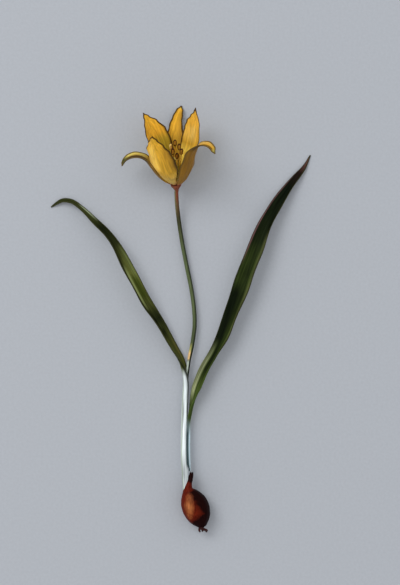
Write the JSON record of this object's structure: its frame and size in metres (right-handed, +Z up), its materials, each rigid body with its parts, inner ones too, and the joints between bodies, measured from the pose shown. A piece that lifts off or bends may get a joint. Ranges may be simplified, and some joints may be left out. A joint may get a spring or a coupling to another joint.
{
  "type": "wild tulip plant",
  "caption": "Whole wild tulip plant laid flat: bare bulb, slender stem, long clasping leaves and an open yellow flower with pointed, partly curled-back tepals.",
  "frame": {"origin": "middle of the flat spot on which the bulb rests on the table", "axes": "+Y from the bulb towards the flower along the plant, +Z up from the table, +X to the right for someone who looks down on the plant with the flower away from them"},
  "size_m": [0.1692, 0.2767, 0.0566],
  "materials": {
    "tunic": "satin",
    "roots": "matte",
    "stem": "satin",
    "leaf": "satin",
    "tepal": "satin",
    "filament": "satin",
    "anther": "matte",
    "pistil": "satin"
  },
  "bodies": {
    "root": {"bulb": "tunic", "basal_plate": "roots", "stem": "stem", "leaf_left": "leaf", "leaf_right": "leaf", "tepal_inner_front": "tepal", "tepal_inner_left": "tepal", "tepal_inner_right": "tepal", "tepal_outer_left": "tepal", "tepal_outer_right": "tepal", "tepal_outer_back": "tepal", "filament_1": "filament", "filament_2": "filament", "filament_3": "filament", "filament_4": "filament", "filament_5": "filament", "filament_6": "filament", "anther_1": "anther", "anther_2": "anther", "anther_3": "anther", "anther_4": "anther", "anther_5": "anther", "anther_6": "anther", "ovary": "pistil", "stigma": "pistil"}
  },
  "joints": []
}
